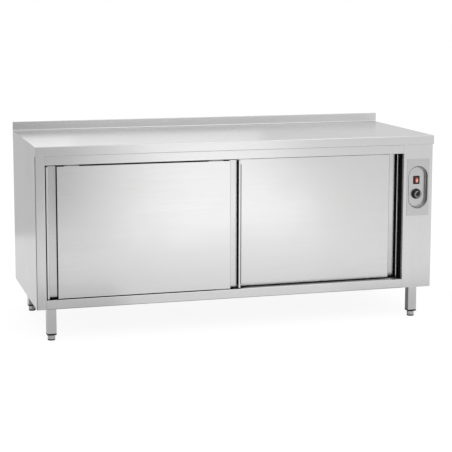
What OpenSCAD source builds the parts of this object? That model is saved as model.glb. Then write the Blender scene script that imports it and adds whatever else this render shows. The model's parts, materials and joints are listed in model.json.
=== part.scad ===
// Plate warmer cabinet: stainless hot cupboard with sliding doors, fan heater and levelling feet.
// The front faces -Y, the origin is on the floor at the middle of the footprint, sizes are in millimetres.

/* [Cabinet] */
// Overall width
cabinet_w = 1800; // [1500:50:2000]
// Overall depth
cabinet_d = 700; // [640:10:800]
// Height of the work surface above the floor
work_h = 830; // [800:5:900]
// Height of the underside above the floor
underside_h = 136; // [120:2:170]

/* [Worktop] */
// Height of the folded worktop edge
edge_h = 40; // [36:1:60]
// Overhang of the worktop past the cabinet front
overhang = 10; // [6:1:16]
// Height of the rear upstand above the work surface
upstand_h = 42; // [20:1:100]
// Thickness of the rear upstand
upstand_t = 10; // [8:1:20]
// Thickness of the worktop sheet
top_sheet = 1.5; // [1:0.1:2]
// Inside radius of the bend between work surface and upstand
upstand_r = 5; // [3:1:8]
// Number of stiffening channels under the worktop
channel_count = 4; // [3:1:6]

/* [Body] */
// Thickness of the body sheets
sheet = 1; // [0.8:0.1:1.2]
// Inside radius of the folds
fold_r = 1; // [0.6:0.1:1.4]
// Width of the left stile
stile_w = 42; // [38:1:60]
// Width of the control bay
bay_w = 140; // [130:5:200]
// Height of the header above the doors
header_h = 40; // [40:1:60]
// Height of the bottom rail
rail_h = 40; // [36:1:60]
// Thickness of the back wall, from the chamber to the back panel
back_wall = 39; // [34:1:60]
// Thickness of the side, back and top insulation boards
board_t = 34; // [20:1:34]
// Thickness of the board between the chamber and the control bay
bay_board_t = 25; // [15:1:28]

/* [Doors] */
// Thickness of a door
door_t = 37; // [36:1:42]
// Front door's face behind the cabinet front
door_setback = 5; // [4:1:10]
// Clearance between the two doors
door_gap = 3; // [2:1:6]
// Clearance at a door's side
side_gap = 4.5; // [3:0.5:8]
// Clearance under a door
foot_gap = 4; // [3:0.5:6]
// Clearance between a door's top and the header
head_gap = 7; // [5:0.5:8]
// Overlap of the closed doors
door_overlap = 91; // [60:1:140]
// Width of the lip outside the finger channel
lip_w = 9; // [8:1:16]
// Width of the finger channel
pull_w = 37; // [25:1:50]
// Depth of the finger channel
pull_d = 33; // [20:1:34]
// Radius of a door roller
roller_r = 11; // [9:0.5:11.5]
// Distance of a hanger from the door's edge
hanger_inset = 110; // [80:5:160]
// Height of the door track
track_h = 36; // [34:1:38]
// Width of the slot in the track
track_slot = 10; // [8:1:12]

/* [Legs] */
// Width of the square leg tube
leg_w = 40; // [38:1:50]
// Wall of the leg tube
leg_wall = 1.5; // [1.2:0.1:3]
// Left legs, from the cabinet's left side
leg_left = 42; // [20:1:120]
// Right legs, from the cabinet's right side
leg_right = 65; // [30:1:120]
// Front legs, behind the cabinet front
leg_front = 2; // [2:1:40]
// Rear legs, from the cabinet's back
leg_back = 80; // [40:5:140]
// Height of the levelling foot below the plug, screwed fully in
foot_h = 23.8; // [22:0.2:34]
// Diameter of the levelling foot
foot_d = 32; // [28:1:38]
// Radius of the foot's threaded stem
stem_r = 5; // [4:0.5:6]
// Height of the plug's rim
plug_rim = 7; // [3:1:8]

/* [Shelf] */
// Number of the slot that carries the shelf, from below
shelf_slot = 4; // [2:1:8]
// Distance between slots
slot_pitch = 50; // [40:5:60]
// Height of the shelf's folded edge
shelf_edge = 25; // [20:1:35]

/* [Heater] */
// Distance of the air baffle from the partition
plenum_w = 60; // [58:2:90]
// Radius of the fan wheel
fan_r = 76; // [60:2:90]
// Number of fan blades
blade_count = 12; // [8:1:20]
// Radius of the heating element's rings
element_r = 98; // [96:2:110]
// Radius of the fan shaft
shaft_r = 4; // [3:0.5:5]

/* [Controls] */
// Height of the control plate's middle above the floor
panel_z = 595; // [520:1:600]
// Width of the control plate
plate_w = 108; // [104:1:116]
// Height of the control plate
plate_h = 258; // [230:2:300]
// Width of the dish
dish_w = 92; // [80:1:96]
// Height of the dish
dish_h = 190; // [180:1:200]
// Depth of the dish
dish_d = 20; // [18:0.5:26]
// Radius of the knob's skirt
knob_r = 23; // [20:0.5:26]
// Height of the knob
knob_h = 20; // [14:0.5:24]
// Width of the switch bezel
bezel_w = 30; // [28:0.5:34]
// Height of the switch bezel
bezel_h = 37; // [34:0.5:40]
// Switch above the middle of the plate
switch_up = 31; // [26:1:40]
// Knob below the middle of the plate
knob_down = 32; // [26:1:40]

/* [Hidden] */
$fn = 48;

// Colours
brushed = "gainsboro";
dull = "silver";
wool = "khaki";
black = "dimgray";

// Clearances: flat faces of moving pieces, and shafts in their bores
clear = 0.3;
running = 0.05;

// Main planes: x across, y front to back, z up
half_w = cabinet_w / 2;
y_front = -cabinet_d / 2;
y_back = cabinet_d / 2;
y_face = y_front + overhang;
back_setback = 3;
y_rear = y_back - back_setback;
z_bot = underside_h;
z_in = z_bot + sheet;
z_top = work_h - edge_h;
z_upstand = work_h + upstand_h;
y_upstand = y_back - upstand_t;
h = sheet / 2;
x_open = [-half_w + stile_w, half_w - bay_w];
z_open = [z_bot + rail_h, z_top - header_h];

// Door planes
door_pitch = door_t + door_gap;
door_y = [y_face + door_setback, y_face + door_setback + door_pitch];
door_z = [z_open[0] + foot_gap, z_open[1] - head_gap];
door_w = (x_open[1] - x_open[0] - 2 * side_gap + door_overlap) / 2;
door_x = [x_open[0] + side_gap, x_open[1] - side_gap - door_w];
lead_in = 8;
y_chamber = door_y[1] + door_t + lead_in;
y_liner = y_rear - back_wall;
z_floor = z_open[0] - sheet;
x_baffle = x_open[1] - plenum_w;
wall_lap = 15;

// Helpers

function unit(v) = v / norm(v);

module block(lo, hi) {
    translate(lo) cube(hi - lo);
}

// Extrude a section drawn in (y, z) from x0 to x1
module along_x(x0, x1) {
    translate([x0, 0, 0]) rotate([90, 0, 90]) linear_extrude(x1 - x0) children();
}

// Extrude a section drawn in (x, z) from y0 to y1
module along_y(y0, y1) {
    translate([0, y1, 0]) rotate([90, 0, 0]) linear_extrude(y1 - y0) children();
}

// Extrude a section drawn in (x, y) from z0 to z1
module along_z(z0, z1) {
    translate([0, 0, z0]) linear_extrude(z1 - z0) children();
}

// One straight leg of a folded section, centred on the line from p to q
module fold_leg(p, q, t) {
    level = abs(q.x - p.x) > abs(q.y - p.y);
    translate((p + q) / 2) square(level ? [abs(q.x - p.x), t] : [t, abs(q.y - p.y)], center = true);
}

// One quarter bend of a folded section, at corner b between a and c
module fold_bend(a, b, c, t, r) {
    into = unit(b - a);
    out = unit(c - b);
    outer = r + t;
    side = into - out;
    translate(b + (out - into) * (r + t / 2)) intersection() {
        difference() {
            circle(outer);
            circle(r);
        }
        translate([side.x > 0 ? 0 : -outer, side.y > 0 ? 0 : -outer]) square(outer);
    }
}

// Folded sheet along a right-angled centre line; radii holds the inside radius of each corner
module folded(path, t, radii) {
    last = len(path) - 1;
    function r_at(i) = is_list(radii) ? radii[i - 1] : radii;
    for (i = [0 : last - 1]) {
        d = unit(path[i + 1] - path[i]);
        from = i == 0 ? path[i] : path[i] + d * (r_at(i) + t / 2);
        to = i == last - 1 ? path[i + 1] : path[i + 1] - d * (r_at(i + 1) + t / 2);
        fold_leg(from, to, t);
    }
    for (i = [1 : last - 1]) fold_bend(path[i - 1], path[i], path[i + 1], t, r_at(i));
}

// Square with rounded corners, centred
module soft_square(w, d, r) {
    difference() {
        square([w, d], center = true);
        for (i = [-1, 1], j = [-1, 1]) translate([i * (w / 2 - r), j * (d / 2 - r)]) difference() {
            translate([i > 0 ? 0 : -r, j > 0 ? 0 : -r]) square(r);
            circle(r);
        }
    }
}

// What a square corner loses to a round one; the corner is at the origin and opens to +x, +y
module corner_loss(r) {
    difference() {
        square(r);
        translate([r, r]) circle(r);
    }
}

// Worktop

worktop_lip = 14;
top_h = top_sheet / 2;
edge_r = 2;

module worktop() color(brushed) {
    along_x(-half_w + top_sheet, half_w - top_sheet) folded([
        [y_front + worktop_lip, z_top + top_h],
        [y_front + top_h, z_top + top_h],
        [y_front + top_h, work_h - top_h],
        [y_upstand + top_h, work_h - top_h],
        [y_upstand + top_h, z_upstand - top_h],
        [y_back - top_h, z_upstand - top_h],
        [y_back - top_h, z_top]],
        top_sheet, [fold_r, edge_r, upstand_r, fold_r, fold_r]);
    for (x = [-half_w, half_w - top_sheet]) along_x(x, x + top_sheet) worktop_end();
}

// The welded end follows the outside of the folded sheet
module worktop_end() {
    difference() {
        union() {
            translate([y_front, z_top]) square([cabinet_d, edge_h]);
            translate([y_upstand, work_h - top_sheet]) square([upstand_t, upstand_h + top_sheet]);
            translate([y_upstand, work_h]) mirror([1, 0]) corner_loss(upstand_r);
        }
        translate([y_front, z_top]) corner_loss(fold_r + top_sheet);
        translate([y_front, work_h]) mirror([0, 1]) corner_loss(edge_r + top_sheet);
        translate([y_upstand, z_upstand]) mirror([0, 1]) corner_loss(fold_r + top_sheet);
        translate([y_back, z_upstand]) mirror([0, 1]) mirror([1, 0]) corner_loss(fold_r + top_sheet);
    }
}

channel_h = 22;
channel_w = 50;
channel_flange = 20;
channel_end = [6, 2];

// Stiffening channels welded under the work surface, open side up
module worktop_channels() color(dull) {
    z = work_h - top_sheet - h;
    half = channel_w / 2;
    for (i = [1 : channel_count]) translate([-half_w + i * cabinet_w / (channel_count + 1), 0, 0])
        along_y(y_front + worktop_lip + channel_end[0], y_upstand - upstand_r - channel_end[1]) folded([
            [-half - channel_flange, z],
            [-half, z],
            [-half, z - channel_h],
            [half, z - channel_h],
            [half, z],
            [half + channel_flange, z]], sheet, fold_r);
}

// Outer skins

corner_return = 15;
corner_r = 3;
rear_flange = 20;
top_flange = 15;

// One side panel, drawn for the left; it stands behind the front frame's return
module side_panel() {
    along_z(z_in, z_top) folded([
        [-half_w + rear_flange, y_rear - h],
        [-half_w + h, y_rear - h],
        [-half_w + h, y_face + corner_return]], sheet, fold_r);
    block([-half_w + sheet, y_face + corner_return, z_top - sheet],
        [-half_w + top_flange, y_rear - rear_flange, z_top]);
}

module left_side_panel() color(brushed) side_panel();

module right_side_panel() color(brushed) mirror([1, 0, 0]) side_panel();

module left_stile() color(brushed) along_z(z_in, z_top) folded([
    [-half_w + h, y_face + corner_return],
    [-half_w + h, y_face + h],
    [x_open[0] - h, y_face + h],
    [x_open[0] - h, y_chamber - h],
    [x_open[0] - wall_lap, y_chamber - h]], sheet, [corner_r, fold_r, fold_r]);

header_lip = 3.5;

module front_header() color(brushed) along_x(x_open[0], x_open[1]) folded([
    [y_face + corner_return, z_top - h],
    [y_face + h, z_top - h],
    [y_face + h, z_open[1] + h],
    [y_face + header_lip, z_open[1] + h]], sheet, fold_r);

rail_lip = 8;

module bottom_rail() color(brushed) along_x(x_open[0], x_open[1]) folded([
    [y_face + rail_lip, z_in + h],
    [y_face + h, z_in + h],
    [y_face + h, z_open[0] - h],
    [y_face + rail_lip, z_open[0] - h]], sheet, fold_r);

panel_x = half_w - bay_w / 2;
fascia_cut = 5;

module control_fascia() color(brushed) difference() {
    along_z(z_in, z_top) folded([
        [half_w - h, y_face + corner_return],
        [half_w - h, y_face + h],
        [x_open[1] + h, y_face + h],
        [x_open[1] + h, y_chamber - h],
        [x_open[1] + wall_lap, y_chamber - h]], sheet, [corner_r, fold_r, fold_r]);
    translate([panel_x, y_face, panel_z])
        cube([dish_w + fascia_cut, 4 * sheet, dish_h + fascia_cut], center = true);
}

vent_count = 9;
vent_pitch = 14;
vent_h = 5;
vent_low = 60;
vent_margin = 35;

module back_panel() color(brushed) difference() {
    block([-half_w + sheet, y_rear, z_in], [half_w - sheet, y_rear + sheet, z_top]);
    for (i = [0 : vent_count - 1]) {
        z = z_in + vent_low + i * vent_pitch;
        block([x_open[1] + vent_margin + wall_lap, y_rear - sheet, z],
            [half_w - vent_margin, y_rear + 2 * sheet, z + vent_h]);
    }
    back_screw_places() cylinder(r = screw_r, h = 6 * sheet, center = true);
}

screw_r = 2;
screw_rows = 4;
screw_margin = 60;
screw_head_r = 3.8;
screw_head_h = 1.8;

// Screw axes of the back panel, along -Y into the side panels' rear flanges
module back_screw_places() {
    for (side = [-1, 1], i = [0 : screw_rows - 1]) {
        z = z_in + screw_margin + i * (z_top - z_in - 2 * screw_margin) / (screw_rows - 1);
        translate([side * (half_w - rear_flange / 2), y_rear, z]) rotate([90, 0, 0]) children();
    }
}

// Pan-head screws: a domed head on the panel and a short shank in its hole
module back_screws() color(dull) back_screw_places() {
    rotate_extrude() polygon([
        [0, -sheet - screw_head_h],
        [0.6 * screw_head_r, -sheet - 0.95 * screw_head_h],
        [screw_head_r, -sheet - 0.45 * screw_head_h],
        [screw_head_r, -sheet],
        [0, -sheet]]);
    translate([0, 0, -sheet]) cylinder(r = screw_r, h = sheet);
}

tray_flange = 15;
tray_end_gap = 2;
gland_x = panel_x + 20;
gland_y = y_rear - 60;
gland_r = 10;
bolt_room = 0.5;

// Base plate with a flange up inside each side panel, and holes for the leg bolts and the gland
module base_tray() color(brushed) difference() {
    union() {
        block([-half_w, y_face, z_bot], [half_w, y_rear + sheet, z_in]);
        for (side = [-1, 1]) mirror([side < 0 ? 1 : 0, 0, 0])
            block([half_w - 2 * sheet, y_face + corner_return + tray_end_gap, z_in],
                [half_w - sheet, y_rear - rear_flange - tray_end_gap, z_in + tray_flange]);
    }
    for (side = [0, 1]) mirror([side, 0, 0]) translate([-half_w, y_face, z_bot - 1])
        linear_extrude(1 + sheet) corner_loss(corner_r + sheet);
    leg_places() translate([0, 0, z_bot]) cylinder(r = bolt_r + bolt_room, h = 4 * sheet, center = true);
    translate([gland_x, gland_y, z_bot]) cylinder(r = gland_r + clear, h = 4 * sheet, center = true);
}

// Chamber

bay_board_x = x_open[1] + sheet + bay_board_t;

// Outline of the floor: narrow between the jambs, wide behind them, held in by a margin
module floor_outline(margin) {
    m = margin;
    x_out = [-half_w + 2 * sheet, bay_board_x + sheet];
    y_apron = y_face + sheet + fold_r + m;
    polygon([
        [x_open[0] + m, y_apron], [x_open[1] - m, y_apron],
        [x_open[1] - m, y_chamber + m], [x_out[1] - m, y_chamber + m],
        [x_out[1] - m, y_rear - sheet - m], [x_out[0] + m, y_rear - sheet - m],
        [x_out[0] + m, y_chamber + m], [x_open[0] + m, y_chamber + m]]);
}

module chamber_floor() color(brushed) {
    along_z(z_floor - sheet, z_floor) floor_outline(0);
    for (x = [-half_w + 2 * sheet, bay_board_x])
        block([x, y_chamber, z_in], [x + sheet, y_rear - sheet, z_floor - sheet]);
}

module left_liner() color(brushed) along_y(y_chamber, y_liner + sheet) folded([
    [x_open[0] - wall_lap, z_open[1] - h],
    [x_open[0] - h, z_open[1] - h],
    [x_open[0] - h, z_floor]], sheet, fold_r);

fan_y = (y_chamber + y_liner) / 2;
fan_z = (z_open[0] + z_open[1]) / 2;
shaft_hole_r = 12;
end_room = 0.5;
capillary_room = 1;
standoff_r = 4;
standoff_at = 42;
through = bay_board_t + 4 * sheet;

// Places of the four motor standoffs, in the partition's plane
module standoff_places() {
    for (a = [45 : 90 : 315]) translate([0, fan_y, fan_z]) rotate([a, 0, 0])
        translate([0, 0, standoff_at * sqrt(2)]) rotate([0, 90, 0]) children();
}

module bay_partition() color(brushed) difference() {
    along_y(y_chamber, y_rear - sheet) folded([
        [x_open[1] + wall_lap, z_open[1] - h],
        [x_open[1] + h, z_open[1] - h],
        [x_open[1] + h, z_floor]], sheet, fold_r);
    partition_holes(0);
}

// Holes for the shaft, the element's ends and the capillary tube, wider by extra
module partition_holes(extra) {
    translate([x_open[1] - sheet, fan_y, fan_z]) rotate([0, 90, 0])
        cylinder(r = shaft_hole_r + extra, h = through);
    for (e = element_ends) translate([x_open[1] - sheet, e.x, e.y]) rotate([0, 90, 0])
        cylinder(r = tube_r + end_room + extra, h = through);
    translate([x_open[1] - sheet, sensor_y, sensor_z]) rotate([0, 90, 0])
        cylinder(r = capillary_r + capillary_room + extra, h = through);
}

module back_liner() color(brushed)
    block([x_open[0], y_liner, z_floor], [x_open[1], y_liner + sheet, z_open[1]]);

module chamber_ceiling() color(brushed) {
    along_x(x_open[0], x_open[1]) folded([
        [y_face + 3 * sheet, z_top - sheet - h],
        [y_chamber - sheet - h, z_top - sheet - h],
        [y_chamber - sheet - h, z_open[1] + h],
        [y_liner + sheet, z_open[1] + h]], sheet, fold_r);
    for (x = [x_open[0] - wall_lap, x_open[1]])
        block([x, y_chamber, z_open[1]], [x + wall_lap, y_liner + sheet, z_open[1] + sheet]);
}

// Mineral wool boards

wool_room = 2;

module side_insulation() color(wool) {
    block([-half_w + 2 * sheet, y_chamber, z_floor],
        [-half_w + 2 * sheet + board_t, y_rear - sheet - clear, z_open[1] - 2 * sheet]);
    difference() {
        block([x_open[1] + sheet, y_chamber, z_floor],
            [bay_board_x, y_rear - sheet - clear, z_open[1] - 2 * sheet]);
        partition_holes(wool_room);
        standoff_places() translate([0, 0, x_open[1] - sheet])
            cylinder(r = standoff_r + wool_room / 2, h = through);
    }
}

module back_insulation() color(wool)
    block([x_open[0] + clear, y_liner + sheet, z_floor],
        [x_open[1] - clear, y_liner + sheet + board_t, z_open[1] - 2 * sheet]);

module top_insulation() color(wool)
    block([x_open[0] + clear, y_chamber - sheet + fold_r, z_open[1] + sheet],
        [x_open[1] - clear, y_rear - sheet - clear, z_open[1] + sheet + board_t]);

module base_insulation() color(wool) difference() {
    along_z(z_in, z_floor - sheet - clear) difference() {
        floor_outline(sheet + clear);
        translate([x_open[0], y_face]) square([x_open[1] - x_open[0], rail_lip + sheet]);
    }
    leg_places() translate([0, 0, z_bot]) cylinder(r = bolt_head_r + wool_room, h = rail_h);
}

// Door running gear

track_wall = 1.5;
track_ledge = 2;
track_room = door_pitch - 4;
z_track = z_top - 2 * sheet - track_h;
z_axle = z_track + track_ledge + roller_r + clear;

module door_track() color("lightsteelblue") along_x(x_open[0] + clear, x_open[1] - clear) difference() {
    y0 = door_y[0] + door_t / 2;
    translate([y0 - track_room / 2 - track_wall, z_track])
        square([door_pitch + track_room + 2 * track_wall, track_h]);
    for (i = [0, 1]) translate([y0 + i * door_pitch, z_track]) {
        translate([-track_room / 2, track_ledge]) square([track_room, track_h - 2 * track_ledge]);
        translate([-track_slot / 2, -1]) square([track_slot, track_ledge + 2]);
    }
}

guide_t = 4;
guide_h = 9;
guide_len = 60;
guide_gap = 2;
guide_foot_w = 25;
guide_foot_r = 4;
fin_inset = 3;
groove_w = 7;
groove_h = 11;

// Bottom guides: a foot plate and a fin that stands in the door's groove
module door_guides() color("white") {
    middle = (door_x[0] + door_w + door_x[1]) / 2;
    length = guide_len - guide_gap;
    for (i = [0, 1]) translate([middle + (i - 0.5) * guide_len, door_y[i] + door_t / 2, z_floor]) {
        linear_extrude(foot_gap) soft_square(length, guide_foot_w, guide_foot_r);
        linear_extrude(foot_gap + guide_h) soft_square(length - 2 * fin_inset, guide_t, 0.45 * guide_t);
    }
}

// Doors

// Open space of the two finger channels, seen from above; y is depth behind the door's face
module pull_spaces() {
    for (x = [lip_w, door_w - lip_w - pull_w]) translate([x, -1]) square([pull_w, pull_d - sheet + 1]);
}

// Moves a piece drawn from a door's own left front edge to door i
module door_place(i) {
    translate([door_x[i], door_y[i], 0]) children();
}

// Front skin of a door: one sheet folded round its edges and into two finger channels, with end plates
module door_front() {
    w = door_w;
    inner = lip_w + pull_w + h;
    groove_y = (door_t - groove_w) / 2;
    difference() {
        union() {
            along_z(door_z[0], door_z[1]) folded([
                [h, door_t],
                [h, h],
                [lip_w - h, h],
                [lip_w - h, pull_d - h],
                [inner, pull_d - h],
                [inner, h],
                [w - inner, h],
                [w - inner, pull_d - h],
                [w - lip_w + h, pull_d - h],
                [w - lip_w + h, h],
                [w - h, h],
                [w - h, door_t]], sheet, fold_r);
            along_z(door_z[0], door_z[0] + sheet) door_closure();
            along_z(door_z[1] - sheet, door_z[1]) door_closure();
            along_z(door_z[0], door_z[0] + groove_h + sheet) intersection() {
                door_closure();
                translate([0, groove_y - sheet]) square([w, groove_w + 2 * sheet]);
            }
        }
        block([-sheet, groove_y, door_z[0] - sheet], [w + sheet, groove_y + groove_w, door_z[0] + groove_h]);
    }
}

// End plate of a door: its whole section inside the skin, without the finger channels
module door_closure() {
    difference() {
        translate([h, h]) square([door_w - sheet, door_t - sheet - h]);
        pull_spaces();
    }
}

pan_edge = 10;

// Back pan of a door, with a short edge turned in behind the front skin's edges
module door_back() along_z(door_z[0] + sheet, door_z[1] - sheet) folded([
    [sheet + h, door_t - pan_edge],
    [sheet + h, door_t - h],
    [door_w - sheet - h, door_t - h],
    [door_w - sheet - h, door_t - pan_edge]], sheet, fold_r);

module door_insulation() {
    side = lip_w + pull_w + 2 * sheet;
    block([side, sheet, door_z[0] + groove_h + 2 * sheet],
        [door_w - side, door_t - sheet - clear, door_z[1] - sheet - clear]);
}

axle_r = 3;
stem_t = 4;
stem_w = 36;
hanger_x = [hanger_inset, door_w - hanger_inset];
eye_h = 8;
shoulder = [6, 2, 5];
foot_plate = [64, 30, 3];
wheel_w = 7;
wheel_off = track_slot / 2 + 1;
wheel_edge = 1;
hub_wall = 2.5;

// Two hangers: a foot plate on the door, a stem through the track's slot and an axle across its rounded eye
module door_hangers() {
    axle_half = wheel_off + wheel_w + 1;
    z_shoulder = z_axle - shoulder[1];
    for (x = hanger_x) translate([x, door_t / 2, 0]) {
        translate([-foot_plate.x / 2, -foot_plate.y / 2, door_z[1]]) cube(foot_plate);
        along_y(-stem_t / 2, stem_t / 2) {
            translate([-stem_w / 2, door_z[1] + foot_plate.z])
                square([stem_w, z_shoulder - door_z[1] - foot_plate.z]);
            translate([0, z_axle]) circle(eye_h);
            polygon([
                [-stem_w / 2, z_shoulder],
                [stem_w / 2, z_shoulder],
                [shoulder[0], z_axle + shoulder[2]],
                [-shoulder[0], z_axle + shoulder[2]]]);
        }
        along_y(-axle_half, axle_half) translate([0, z_axle]) circle(axle_r);
    }
}

// A pair of wheels on one axle, each with a hub that runs beside the stem
module roller_pair() {
    bore = axle_r + running;
    wheel_hub = axle_r + hub_wall;
    section = [
        [bore, stem_t / 2 + clear],
        [wheel_hub, stem_t / 2 + clear],
        [wheel_hub, wheel_off],
        [roller_r - wheel_edge, wheel_off],
        [roller_r, wheel_off + wheel_edge],
        [roller_r, wheel_off + wheel_w - wheel_edge],
        [roller_r - wheel_edge, wheel_off + wheel_w],
        [bore, wheel_off + wheel_w]];
    for (side = [-1, 1]) translate([0, door_t / 2, z_axle]) rotate([side * 90, 0, 0])
        rotate_extrude() polygon(section);
}

module left_door_front() color(brushed) door_place(0) door_front();

module left_door_back() color(brushed) door_place(0) door_back();

module left_door_insulation() color(wool) door_place(0) door_insulation();

module left_door_hangers() color(dull) door_place(0) door_hangers();

module left_door_roller_outer() color("white") door_place(0) translate([hanger_x[0], 0, 0]) roller_pair();

module left_door_roller_inner() color("white") door_place(0) translate([hanger_x[1], 0, 0]) roller_pair();

module right_door_front() color(brushed) door_place(1) door_front();

module right_door_back() color(brushed) door_place(1) door_back();

module right_door_insulation() color(wool) door_place(1) door_insulation();

module right_door_hangers() color(dull) door_place(1) door_hangers();

module right_door_roller_inner() color("white") door_place(1) translate([hanger_x[0], 0, 0]) roller_pair();

module right_door_roller_outer() color("white") door_place(1) translate([hanger_x[1], 0, 0]) roller_pair();

// Shelf

upright_w = 30;
upright_d = 12;
upright_inset = 55;
upright_y = [y_chamber + upright_inset, y_liner - upright_inset];
upright_gap = [4, 6];
upright_z = [z_floor + upright_gap[0], z_open[1] - upright_gap[1]];
first_slot = 60;
slot_w = 16;
slot_h = 6;
slot_count = floor((upright_z[1] - upright_z[0] - 2 * first_slot) / slot_pitch) + 1;
function slot_z(i) = upright_z[0] + first_slot + i * slot_pitch;

// One slotted upright at the left wall; its web faces the chamber
module upright(y) {
    x = x_open[0];
    difference() {
        along_z(upright_z[0], upright_z[1]) folded([
            [x, y - upright_w / 2],
            [x + upright_d - h, y - upright_w / 2],
            [x + upright_d - h, y + upright_w / 2],
            [x, y + upright_w / 2]], sheet, fold_r);
        for (i = [0 : slot_count - 1])
            block([x + upright_d - 2 * sheet, y - slot_w / 2, slot_z(i)],
                [x + upright_d + sheet, y + slot_w / 2, slot_z(i) + slot_h]);
    }
}

// Places what is drawn at the left wall there, and its mirror image at the air baffle
module both_walls() {
    children();
    translate([x_open[0] + x_baffle, 0, 0]) mirror([1, 0, 0]) children();
}

module shelf_uprights() color(dull) both_walls() for (y = upright_y) upright(y);

bar_h = 24;
bar_t = 2;
bar_w = 24;
bar_end = 25;
hook_d = 4;
hook_drop = 5;
hook_play = 1;
bar_rise = 13;
z_shelf = slot_z(shelf_slot) + bar_rise;

// Shelf bar: an angle that hooks into one slot of each upright
module shelf_bar() {
    x = x_open[0] + upright_d;
    y0 = upright_y[0] - bar_end;
    y1 = upright_y[1] + bar_end;
    block([x, y0, z_shelf - bar_h], [x + bar_t, y1, z_shelf - bar_t]);
    block([x, y0, z_shelf - bar_t], [x + bar_w, y1, z_shelf]);
    half = slot_w / 2 - hook_play;
    z = slot_z(shelf_slot);
    z_hook = z + slot_h - 2 * hook_play;
    for (y = upright_y) {
        block([x - hook_d, y - half, z + clear], [x, y + half, z_hook]);
        block([x - hook_d, y - half, z - hook_drop], [x - sheet - clear, y + half, z_hook]);
    }
}

module shelf_brackets() color(dull) both_walls() shelf_bar();

shelf_gap = 5;
shelf_return = 12;
shelf_rib = 60;
shelf_inset = [15, 8];
rib_gap = 4;

// Shelf: a sheet folded down at its ends, with front and back edges and a stiffening rib below
module shelf() color(brushed) {
    x0 = x_open[0] + upright_d + shelf_gap;
    x1 = x_baffle - upright_d - shelf_gap;
    y0 = y_chamber + shelf_inset[0];
    y1 = y_liner - shelf_inset[1];
    z1 = z_shelf + shelf_edge;
    z_rib = z_shelf + rib_gap;
    mid = (y0 + y1) / 2;
    along_y(y0, y1) folded([
        [x0 + shelf_return, z_shelf + h],
        [x0 + h, z_shelf + h],
        [x0 + h, z1 - h],
        [x1 - h, z1 - h],
        [x1 - h, z_shelf + h],
        [x1 - shelf_return, z_shelf + h]], sheet, fold_r);
    for (y = [y0, y1 - sheet])
        block([x0 + sheet + fold_r, y, z_shelf], [x1 - sheet - fold_r, y + sheet, z1 - sheet]);
    along_x(x0 + bar_w, x1 - bar_w) folded([
        [mid - shelf_rib, z1 - sheet - h],
        [mid - shelf_rib / 2, z1 - sheet - h],
        [mid - shelf_rib / 2, z_rib],
        [mid + shelf_rib / 2, z_rib],
        [mid + shelf_rib / 2, z1 - sheet - h],
        [mid + shelf_rib, z1 - sheet - h]], sheet, fold_r);
}

// Fan heater

intake_r = 70;
intake_pitch = 14;
intake_slot = 7;
outlet_pitch = 46;
outlet_w = 34;
outlet_h = 7;
outlet_margin = 26;
outlet_low = [20, 36];
outlet_high = [40, 24];
intake_rows = 4;

// Air baffle: a false wall with an intake in front of the fan and rows of outlets above and below
module air_baffle() color(brushed) difference() {
    along_z(z_floor, z_open[1]) folded([
        [x_open[1], y_chamber + h],
        [x_baffle + h, y_chamber + h],
        [x_baffle + h, y_liner]], sheet, fold_r);
    cut_x = [x_baffle - sheet, x_baffle + 2 * sheet];
    for (i = [-intake_rows : intake_rows]) {
        z = fan_z + i * intake_pitch;
        half = sqrt(intake_r * intake_r - pow(i * intake_pitch, 2));
        block([cut_x[0], fan_y - half, z - intake_slot / 2], [cut_x[1], fan_y + half, z + intake_slot / 2]);
    }
    outlets = floor((y_liner - y_chamber - 2 * outlet_margin) / outlet_pitch);
    outlet_z = concat([for (up = outlet_low) z_floor + up], [for (down = outlet_high) z_open[1] - down]);
    for (i = [0 : outlets - 1], z = outlet_z) {
        y = fan_y + (i - (outlets - 1) / 2) * outlet_pitch;
        block([cut_x[0], y - outlet_w / 2, z], [cut_x[1], y + outlet_w / 2, z + outlet_h]);
    }
}

tube_r = 4;
tube_bend = 7;
ring_off = 22;
ring_x = x_baffle + ring_off;
ring_gaps = [9, 25];
element_tail = 16;
clip = [12, 3];
clip_lead = 2;

// Where the element's two straight ends run, in (y, z)
element_ends = [for (a = ring_gaps) [
    fan_y + element_r * sin(a) - tube_bend * cos(a), fan_z - element_r * cos(a) - tube_bend * sin(a)]];

// Part of a turn of heating tube with its middle line at radius r
module tube_arc(r, turn) {
    rotate_extrude(angle = turn) translate([r, 0]) circle(tube_r);
}

// Tubular element: two open rings about the fan, a U-bend between them, two ends through the partition
// and three clips that hold the rings off it
module ring_heater() color("slategray") translate([ring_x, fan_y, fan_z]) rotate([0, 90, 0]) {
    for (i = [0, 1]) {
        level = i * 2 * tube_bend;
        end = bay_board_x + element_tail - ring_x - level - tube_bend;
        translate([0, 0, level]) {
            rotate(ring_gaps[i]) tube_arc(element_r, 360 - ring_gaps[i] - ring_gaps[0]);
            rotate(ring_gaps[i]) translate([element_r, 0, tube_bend]) {
                rotate([90, 0, 90]) rotate(180) tube_arc(tube_bend, 90);
                translate([0, -tube_bend, 0]) cylinder(r = tube_r, h = end);
            }
        }
    }
    rotate(-ring_gaps[0]) translate([element_r, 0, tube_bend])
        rotate([90, 0, 90]) rotate(-90) tube_arc(tube_bend, 180);
    for (a = [-ring_gaps[0], 120, 240]) rotate(a)
        block([element_r - clip.x / 2, -clip.y / 2, -tube_r - clip_lead],
            [element_r + clip.x / 2, clip.y / 2, x_open[1] - ring_x]);
}

motor_r = 40;
motor_gap = 4;
x_motor = bay_board_x + sheet + motor_gap;
motor_len = 52;
motor_flange = 104;
motor_flange_t = 2;
motor_flange_r = 8;
bearing = [12, 5];

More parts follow.
